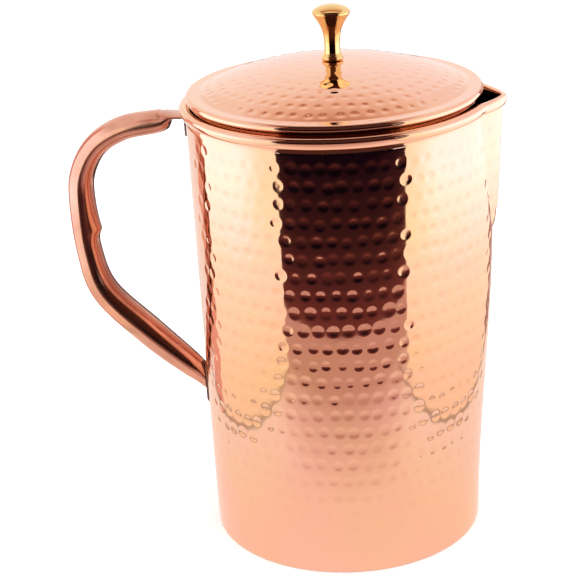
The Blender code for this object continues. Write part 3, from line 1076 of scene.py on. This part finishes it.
@dataclass
class Lid:
    """The lid's domed, hammered plate with its rolled edge, and the collar under it."""

    sheet: float = 0.8
    hem: float = 0.15
    border_top: float = 191.05
    hole: float = 1.9
    field_radius: float = 54.5
    dome_power: float = 2.3
    edge_size: float = 1.65
    columns: int = 530
    field_rows: int = 100
    mark_reach: float = 51.6
    mark_start: float = 7.0
    mark_pitch: float = 5.4
    mark_spacing: float = 5.9
    mark_size: float = 2.35
    mark_depth: float = 0.14
    mark_tilt: float = 0.35
    mark_stray: float = 0.5
    mark_seed: int = 23
    collar_sheet: float = 0.7
    collar_columns: int = 200

    def __post_init__(self) -> None:
        """Takes the lid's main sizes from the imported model."""
        _, high = box_mm("lid_plate")
        self.top = high[2]
        self.edge_radius = high[1] - self.edge_size

    def marks(self) -> Hammering:
        """The lid's hammer marks: rings from inside the border to near the knob."""
        rows = np.arange(self.mark_reach, self.mark_start, -self.mark_pitch)
        slopes = (self.level(rows + 1.0) - self.level(rows - 1.0)) / 2.0
        sizes = (self.mark_spacing, self.mark_size, self.mark_depth)
        tilts = self.mark_tilt * slopes
        return Hammering(rows, rows, *sizes, self.mark_stray, self.mark_seed, tilts=tilts)

    def mark_fade(self, radius: np.ndarray) -> np.ndarray:
        """Share of the marks' depth at a radius: shallow near the knob, none on the border.

        Args:
            radius: distance from the axis.

        Returns:
            The share, from 0 to 1.
        """
        struck = smoothstep(radius, 5.5, 8.5)
        struck = struck * (1.0 - smoothstep(radius, self.field_radius, self.field_radius + 1.5))
        return struck * (0.35 + 0.65 * smoothstep(radius, 14.0, 44.0))

    def level(self, radius: np.ndarray) -> np.ndarray:
        """Height of the plate's top: a dome that falls away as a power of the radius, then the border.

        Args:
            radius: distance from the axis.

        Returns:
            Height in millimetres.
        """
        share = np.clip(radius / self.field_radius, 0.0, 1.0)
        return self.top - (self.top - self.border_top) * share ** self.dome_power

    def build_plate(self, wardrobe: Wardrobe) -> None:
        """Builds the plate: dome, flat border and rolled edge; the underside follows them.

        Both faces of the field sink by the hammer marks' depth, as a struck sheet does, and the
        underside has every second row of the top.

        Args:
            wardrobe: hands out the finish.
        """
        field_line = np.linspace(self.hole + self.hem, self.field_radius, self.field_rows)
        top_field = np.column_stack((field_line, self.level(field_line)))
        edge = (self.edge_radius, self.border_top - self.edge_size)
        flat = np.linspace(self.field_radius, self.edge_radius, 7)[1:-1]
        top_border = np.column_stack((flat, np.full(len(flat), self.border_top)))
        outer = arc(edge, self.edge_size, 90.0, -130.0, 20)
        inner = arc(edge, self.edge_size - self.sheet, -130.0, 90.0, 8)
        top = np.vstack((top_field, top_border, outer))
        below = np.vstack((top_field, top_border))[::-2] - (0.0, self.sheet)
        rim_levels = (self.top - self.sheet + self.hem, self.top - self.hem)
        rim = np.array([(self.hole, level) for level in rim_levels])
        profile = np.vstack((top, inner, below, rim))
        angle = np.linspace(0.0, 2.0 * math.pi, self.columns, endpoint=False)[None, :]
        radius = profile[:, :1]
        depth = self.marks().depth_at(angle, radius) * self.mark_fade(radius)
        grid = revolve(profile, self.columns)
        grid[:, :, 2] -= depth
        piece = write_ring("lid_plate_hammered", grid, depth / self.mark_depth)
        wardrobe.dress(piece, HAMMERED_COPPER, Body.LID, "lid_plate")

    def build_collar(self, wardrobe: Wardrobe) -> None:
        """Builds the collar: a flange under the plate, a shoulder on the rim and a plain ring.

        Args:
            wardrobe: hands out the finish.
        """
        low, high = box_mm("lid_collar")
        half_sheet = self.collar_sheet / 2.0
        flange = high[2] - half_sheet
        foot = low[2] + half_sheet
        line = smooth_curve((
            (53.35, flange), (53.9, flange), (54.5, flange), (55.25, flange - 0.45),
            (55.4, flange - 1.2), (55.9, 187.15), (57.3, 187.0), (57.85, 186.75), (57.65, 186.25),
            (57.25, 185.4), (57.2, 183.0), (57.2, foot + 2.0), (57.2, foot),
        ), 70)
        step = np.gradient(line, axis=0)
        step /= np.linalg.norm(step, axis=1)[:, None]
        side = np.column_stack((step[:, 1], -step[:, 0])) * half_sheet
        end = arc(tuple(line[-1]), half_sheet, 0.0, -180.0, 7)[1:-1]
        outer, inner = line - side, line + side
        if outer[-1, 0] < inner[-1, 0]:
            outer, inner = inner, outer
        profile = np.vstack((outer, end, inner[::-1]))
        piece = write_ring("lid_collar_ring", revolve(profile, self.collar_columns))
        wardrobe.dress(piece, HAMMERED_COPPER, Body.LID, "lid_collar")

    def build(self, wardrobe: Wardrobe) -> None:
        """Builds the plate and the collar.

        Args:
            wardrobe: hands out the finish.
        """
        self.build_plate(wardrobe)
        self.build_collar(wardrobe)


@dataclass
class Knob:
    """The turned knob: a ring for a foot, a slim stem and a trumpet head."""

    profile: tuple[tuple[float, float], ...] = (
        (4.32, 0.25), (4.42, 0.6), (4.38, 1.05), (4.08, 1.6), (3.62, 2.05), (3.34, 2.6), (3.25, 3.6),
        (3.24, 5.6), (3.33, 7.8), (3.72, 10.8), (4.35, 12.9), (5.15, 14.6), (6.35, 16.6), (7.3, 18.0),
        (7.68, 18.75), (7.55, 19.5), (6.9, 20.2), (5.6, 21.0), (3.5, 21.75), (1.2, 22.1),
    )
    drawn_height: float = 22.15
    skin_rows: int = 150
    bore: float = 1.8
    bore_depth: float = 6.4
    columns: int = 120

    def build(self, wardrobe: Wardrobe) -> None:
        """Builds the knob and dresses the washer and the screw that hold it.

        Args:
            wardrobe: hands out the finishes.
        """
        low, high = box_mm("knob")
        foot, top = low[2], high[2]
        bore_end = foot + self.bore_depth
        tall = (top - foot) / self.drawn_height
        skin = smooth_curve(self.profile, self.skin_rows) * (1.0, tall) + (0.0, foot)
        hole = [(0.0, bore_end), (0.6, bore_end), (self.bore, bore_end)]
        hole += [(self.bore, foot + 0.2), (self.bore + 0.2, foot)]
        ring = [(4.05, foot), (4.2, foot + 0.08)]
        profile = np.vstack((hole, ring, skin, [(0.0, top)]))
        piece = write_turned("knob_turned", profile, self.columns)
        wardrobe.dress(piece, TURNED_BRASS, Body.KNOB, "knob")
        wardrobe.dress_node("knob_washer", TURNED_BRASS)
        wardrobe.dress_node("knob_screw", SCREW_STEEL)


# ---------------------------------------------------------------------------
# Studio
# ---------------------------------------------------------------------------


@dataclass(frozen=True)
class LightLadder:
    """Light that changes along a distance, straight between stops.

    Attributes:
        stops: rising distances.
        red: red light at each stop.
        green: green light at each stop.
        blue: blue light at each stop.
    """

    stops: tuple[float, ...]
    red: tuple[float, ...]
    green: tuple[float, ...]
    blue: tuple[float, ...]

    def at(self, distance: np.ndarray) -> np.ndarray:
        """Light at each distance, an array by 3."""
        channels = (self.red, self.green, self.blue)
        return np.column_stack([np.interp(distance, self.stops, channel) for channel in channels])


SHEET_LIGHT = LightLadder(
    stops=(60.0, 110.0, 142.0, 181.0, 213.0, 275.0),
    red=(1.04, 1.0, 0.90, 0.78, 0.60, 0.60),
    green=(0.84, 0.80, 0.69, 0.56, 0.38, 0.37),
    blue=(0.76, 0.74, 0.63, 0.53, 0.34, 0.33),
)
DARK_FLOOR_LIGHT = LightLadder(
    stops=(275.0, 340.0, 416.0, 600.0, 1000.0),
    red=(0.165, 0.085, 0.042, 0.008, 0.004),
    green=(0.046, 0.026, 0.013, 0.003, 0.002),
    blue=(0.040, 0.026, 0.016, 0.008, 0.005),
)
WALL_LIGHT = LightLadder(
    stops=(0.0, 25.0, 80.0, 130.0, 200.0, 245.0),
    red=(1.02, 1.07, 1.2, 1.5, 1.45, 0.98),
    green=(0.86, 0.93, 1.16, 1.64, 1.6, 0.90),
    blue=(0.64, 0.74, 1.04, 1.78, 1.7, 0.86),
)
CEILING_LIGHT = LightLadder(
    stops=(-40.0, -24.0, -16.0, 22.0, 32.0, 45.0, 60.0, 80.0, 110.0, 140.0, 180.0, 240.0, 320.0),
    red=(0.03, 0.10, 0.95, 1.0, 0.62, 0.46, 0.50, 0.58, 0.78, 0.86, 0.91, 0.97, 1.0),
    green=(0.01, 0.05, 0.80, 0.86, 0.34, 0.22, 0.25, 0.33, 0.54, 0.64, 0.73, 0.87, 0.95),
    blue=(0.01, 0.05, 0.72, 0.78, 0.26, 0.16, 0.18, 0.24, 0.43, 0.52, 0.64, 0.83, 0.93),
)
ROOM_LIGHT = (0.010, 0.004, 0.006)
HOOD_LIGHT = (0.075, 0.030, 0.024)
SHEET_SIDE_LIGHT = (1.02, 0.93, 0.84)
WALL_YELLOW_LIMIT = (1.3, 1.2, 0.95)
WALL_TOP_LIGHT = (0.5, 0.2, 0.13)
LEFT_STRIP_LIGHT = (0.86, 0.44, 0.36)
RIGHT_STRIP_LIGHT = (0.42, 0.24, 0.21)
LEFT_END_LIGHT = (1.0, 0.93, 0.93)
RIGHT_END_LIGHT = (0.72, 0.53, 0.5)
BACK_LIGHT = (1.03, 1.0, 1.0)
BACK_TOP_LIGHT = (1.0, 0.95, 0.93)
BACK_LOW_LIGHT = (0.62, 0.42, 0.40)


def mix(first: np.ndarray | Colour, second: np.ndarray | Colour, share: np.ndarray) -> np.ndarray:
    """Goes from one light to another by a share s of each point: first (1 - s) + second s."""
    part = share[:, None]
    return np.asarray(first) * (1.0 - part) + np.asarray(second) * part


@dataclass
class Studio:
    """A pale floor, soft light, the camera, and the white tent that the metal mirrors.

    The tent's walls are only seen in reflections. It is open at the front, where it is dark.
    Its own axes are turned against the jug's, so that its open side faces the camera: X to the
    right, Y away from the camera and Z up. The walls' light changes past their left and right back
    lines, first to a strip and then to a plain end.
    """

    turn: float = math.radians(6.0)
    half_width: float = 157.0
    left_front: float = -184.0
    right_front: float = -152.0
    left_back: float = 37.0
    right_back: float = 115.0
    strip: float = 42.0
    strip_fade: float = 14.0
    back: float = 320.0
    height: float = 450.0
    hood_height: float = 470.0
    curtain_height: float = 1600.0
    ceiling_front: float = -150.0
    floor_gap: float = 0.1
    sheet_front: float = -275.0
    front_dip: float = 45.0
    front_dip_half: float = 220.0
    front_rise: float = 12.0
    slit_half: tuple[float, float] = (55.0, 62.0)
    slit_shade: float = 0.95
    foot_shade: float = 0.5
    reach: float = 450.0
    far: float = 2600.0
    card_steps: int = 240
    floor_reach: float = 4000.0
    floor_drop: float = 0.2
    lamp_size: float = 1.6
    lamp_power: float = 30.0
    lamp_place: tuple[float, float, float] = (0.0, -0.1, 1.8)
    camera_place: tuple[float, float, float] = (0.0, -646.94, 357.59)
    camera_pitch: float = 21.37
    camera_yaw: float = -1.97
    camera_roll: float = -2.78
    lens: float = 103.0

    def card(
        self,
        name: str,
        origin: tuple[float, float, float],
        first: tuple[float, float, float],
        second: tuple[float, float, float],
        glow: Callable[[np.ndarray], np.ndarray],
        bend: Callable[[np.ndarray], np.ndarray] = lambda points: points,
    ) -> None:
        """A glowing card that only reflections see, coloured by a formula of place.

        Args:
            name: the card's name.
            origin: one corner, in the tent's axes.
            first: one side from that corner.
            second: the other side.
            glow: gives points by 3 of light for points by 3 of place.
            bend: moves the points once they have their light.
        """
        share = np.linspace(0.0, 1.0, self.card_steps)
        u, v = np.meshgrid(share, share, indexing="ij")
        points = np.array(origin) + u[..., None] * np.array(first) + v[..., None] * np.array(second)
        points = points.reshape(-1, 3)
        turned = np.array(Matrix.Rotation(self.turn, 3, "Z")) @ bend(points).T
        faces = lattice(self.card_steps, self.card_steps, False, False)
        mesh = bpy.data.meshes.new(name)
        mesh.from_pydata((turned.T * MM).tolist(), [], faces.tolist())
        light = mesh.attributes.new("glow", "FLOAT_COLOR", "POINT")
        colours = np.column_stack((glow(points), np.ones(len(points))))
        light.data.foreach_set("color", colours.astype(np.float32).ravel())
        nodes = Nodes(name)
        nodes.tree.nodes.remove(nodes.shader)
        shine = nodes.add("Emission")
        light = nodes.add("Attribute", attribute_name="glow")
        nodes.join(light.outputs["Color"], shine.inputs["Color"])
        nodes.join(shine.outputs[0], nodes.tree.nodes["Material Output"].inputs["Surface"])
        mesh.materials.append(nodes.material)
        card = bpy.data.objects.new(name, mesh)
        bpy.context.scene.collection.objects.link(card)
        card.visible_camera = False
        card.visible_diffuse = False
        card.visible_transmission = False
        card.visible_shadow = False

    def front_bend(self, points: np.ndarray) -> np.ndarray:
        """Curves the front edge of the sheet: nearer in the middle, further away at the sides.

        The shift along Y is dip (x / half)^2, held at the dip, less the rise; it fades in over the
        front part of the sheet.

        Args:
            points: places on the sheet.

        Returns:
            The moved places.
        """
        curve = self.front_dip * np.minimum((points[:, 0] / self.front_dip_half) ** 2, 1.0)
        shift = (curve - self.front_rise) * smoothstep(-points[:, 1], 150.0, 270.0)
        still = np.zeros_like(shift)
        return points + np.column_stack((still, shift, still))

    def in_slit(self, points: np.ndarray) -> np.ndarray:
        """1 in the middle of the tent, as wide as the dark slit behind the jug, and 0 beside it."""
        return 1.0 - smoothstep(np.abs(points[:, 0]), *self.slit_half)

    def sheet_glow(self, points: np.ndarray) -> np.ndarray:
        """Light of the white sheet under the jug: warm near the copper, dim towards the open front.

        Its sides are whiter, the slit behind the jug is dark, and the walls' feet shade it.

        Args:
            points: places on the sheet.

        Returns:
            Points by 3 of light.
        """
        ahead = -points[:, 1]
        aside = np.abs(points[:, 0])
        front = SHEET_LIGHT.at(ahead)
        side = smoothstep(aside, 50.0, 150.0) * (1.0 - smoothstep(ahead, 100.0, 180.0))
        plain = np.array(SHEET_SIDE_LIGHT) * np.clip(front[:, :1] + 0.25, 0.0, 1.0)
        slit = smoothstep(points[:, 1], 150.0, 175.0) * self.in_slit(points)
        wall_foot = 1.0 - smoothstep(np.abs(aside - self.half_width), 1.0, 6.0)
        wall_foot = wall_foot * smoothstep(points[:, 1], -200.0, -185.0)
        shade = (1.0 - self.slit_shade * slit) * (1.0 - self.foot_shade * wall_foot)
        return mix(front, plain, side) * shade[:, None]

    def dark_glow(self, points: np.ndarray) -> np.ndarray:
        """Light of the floor outside the tent: brown near the sheet, then nearly black."""
        return DARK_FLOOR_LIGHT.at(-points[:, 1])

    def wall_glow(self, points: np.ndarray) -> np.ndarray:
        """Light of the side walls: a hot patch above, warmer and dimmer towards the sheet.

        Args:
            points: places on a wall.

        Returns:
            Points by 3 of light.
        """
        along, height = points[:, 1], points[:, 2]
        light = WALL_LIGHT.at(height)
        light = mix(light, np.minimum(light, WALL_YELLOW_LIMIT), smoothstep(-along, 50.0, 150.0))
        left = points[:, 0] < 0.0
        end = np.where(left, self.left_back, self.right_back)
        beyond = smoothstep(along, end, end + 3.0) * (1.0 - smoothstep(height, 215.0, 250.0))
        strip_end = end + self.strip
        strip = 1.0 - smoothstep(along, strip_end, strip_end + self.strip_fade)
        strip_light = np.where(left[:, None], LEFT_STRIP_LIGHT, RIGHT_STRIP_LIGHT)
        end_light = np.where(left[:, None], LEFT_END_LIGHT, RIGHT_END_LIGHT)
        light = mix(light, mix(end_light, strip_light, strip), beyond)
        high = smoothstep(height, 290.0, 400.0) * smoothstep(-along, 20.0, 90.0)
        light = mix(light, WALL_TOP_LIGHT, high)
        foot = (1.0 - smoothstep(height, 1.0, 5.0))[:, None]
        return light * (1.0 - self.foot_shade * foot)

    def back_glow(self, points: np.ndarray) -> np.ndarray:
        """Light of the back wall: white, salmon near its top, with a dark slit low in the middle.

        Args:
            points: places on the back wall.

        Returns:
            Points by 3 of light.
        """
        height = points[:, 2]
        light = mix(BACK_LIGHT, BACK_TOP_LIGHT, smoothstep(height, 300.0, 450.0))
        low = (1.0 - smoothstep(height, 120.0, 160.0)) * smoothstep(points[:, 0], 0.0, 40.0)
        slit = (1.0 - smoothstep(height, 150.0, 165.0)) * self.in_slit(points)
        return mix(light, BACK_LOW_LIGHT, low) * (1.0 - self.slit_shade * slit[:, None])

    def ceiling_glow(self, points: np.ndarray) -> np.ndarray:
        """Light of the ceiling: white at the back, salmon above the jug, then a white strip."""
        return CEILING_LIGHT.at(points[:, 1])

    def room_glow(self, points: np.ndarray) -> np.ndarray:
        """Light of the dark room beyond the tent: almost none."""
        return np.tile(ROOM_LIGHT, (len(points), 1))

    def hood_glow(self, points: np.ndarray) -> np.ndarray:
        """Light of the dark space above the tent's open front: a faint warm brown."""
        return np.tile(HOOD_LIGHT, (len(points), 1))

    def build_tent(self) -> None:
        """Builds the cards of the tent, and the dark room in front of it."""
        wide, tall, low = self.half_width, self.height, -self.floor_gap
        depth = self.back - self.sheet_front
        self.card(
            "sheet_card", (-self.reach, self.sheet_front, low), (2 * self.reach, 0, 0),
            (0, depth, 0), self.sheet_glow, self.front_bend,
        )
        self.card(
            "dark_floor_card", (-self.far, self.sheet_front, low), (2 * self.far, 0, 0),
            (0, -self.far, 0), self.dark_glow, self.front_bend,
        )
        walls = (("left_card", -wide, self.left_front), ("right_card", wide, self.right_front))
        for name, place, front in walls:
            deep = self.back - front
            self.card(name, (place, front, low), (0, deep, 0), (0, 0, tall), self.wall_glow)
        across = (2 * wide, 0, 0)
        self.card("back_card", (-wide, self.back, low), across, (0, 0, tall), self.back_glow)
        deep = self.back - self.ceiling_front
        start = (-wide, self.ceiling_front, tall)
        self.card("ceiling_card", start, across, (0, deep, 0), self.ceiling_glow)
        front = self.sheet_front - self.far
        across = (2 * self.far, 0, 0)
        up = (0, 0, self.curtain_height)
        self.card("curtain_card", (-self.far, front, low), across, up, self.room_glow)
        start = (-self.far, front, self.hood_height)
        self.card("hood_card", start, across, (0, -front, 0), self.hood_glow)

    def build_floor(self) -> None:
        """Builds the pale floor that the camera sees."""
        reach, level = self.floor_reach * MM, -self.floor_drop * MM
        signs = ((-1, -1), (1, -1), (1, 1), (-1, 1))
        mesh = bpy.data.meshes.new("floor")
        mesh.from_pydata([(x * reach, y * reach, level) for x, y in signs], [], [(0, 1, 2, 3)])
        nodes = Nodes("pale_floor")
        clouds = nodes.noise((6.0, 6.0, 6.0), 2.0)
        paint = nodes.blend(clouds, (0.93, 0.925, 0.92), (0.95, 0.945, 0.94))
        nodes.join(paint, nodes.shader.inputs["Base Color"])
        nodes.shader.inputs["Roughness"].default_value = 0.7
        mesh.materials.append(nodes.material)
        floor = bpy.data.objects.new("floor", mesh)
        bpy.context.scene.collection.objects.link(floor)
        floor.visible_glossy = False

    def build_lights(self) -> None:
        """Builds a white surround and a large soft lamp overhead."""
        world = bpy.data.worlds.new("studio")
        world.use_nodes = True
        surround = world.node_tree.nodes["Background"]
        surround.inputs["Color"].default_value = (1.0, 1.0, 1.0, 1.0)
        surround.inputs["Strength"].default_value = 1.0
        bpy.context.scene.world = world
        lamp = bpy.data.lights.new("overhead", "AREA")
        lamp.shape = "DISK"
        lamp.size = self.lamp_size
        lamp.energy = self.lamp_power
        light = bpy.data.objects.new("overhead", lamp)
        light.location = self.lamp_place
        light.visible_glossy = False
        bpy.context.scene.collection.objects.link(light)

    def build_camera(self) -> None:
        """Sets up the camera: heading and pitch, then roll about its own line of sight."""
        data = bpy.data.cameras.new("camera")
        data.sensor_width = 36.0
        data.lens = self.lens
        camera = bpy.data.objects.new("camera", data)
        studio = Matrix.Rotation(self.turn, 4, "Z")
        place = Matrix.Translation(Vector(self.camera_place) * MM)
        heading = Matrix.Rotation(math.radians(-self.camera_yaw), 4, "Z")
        pitch = Matrix.Rotation(math.radians(90.0 - self.camera_pitch), 4, "X")
        roll = Matrix.Rotation(math.radians(self.camera_roll), 4, "Z")
        camera.matrix_world = studio @ place @ heading @ pitch @ roll
        bpy.context.scene.collection.objects.link(camera)
        bpy.context.scene.camera = camera

    def build(self) -> None:
        """Builds the whole studio."""
        self.build_tent()
        self.build_floor()
        self.build_lights()
        self.build_camera()
        bpy.context.scene.view_settings.view_transform = "Standard"


def main() -> None:
    """Builds the jug piece by piece, then the studio."""
    logging.basicConfig(level=logging.INFO, format="%(message)s")
    wardrobe = Wardrobe()
    for assembly in (JugBody(), Handle(), Lid(), Knob()):
        assembly.build(wardrobe)
        LOG.info("built %s", type(assembly).__name__)
    Studio().build()


if __name__ == "__main__":
    main()
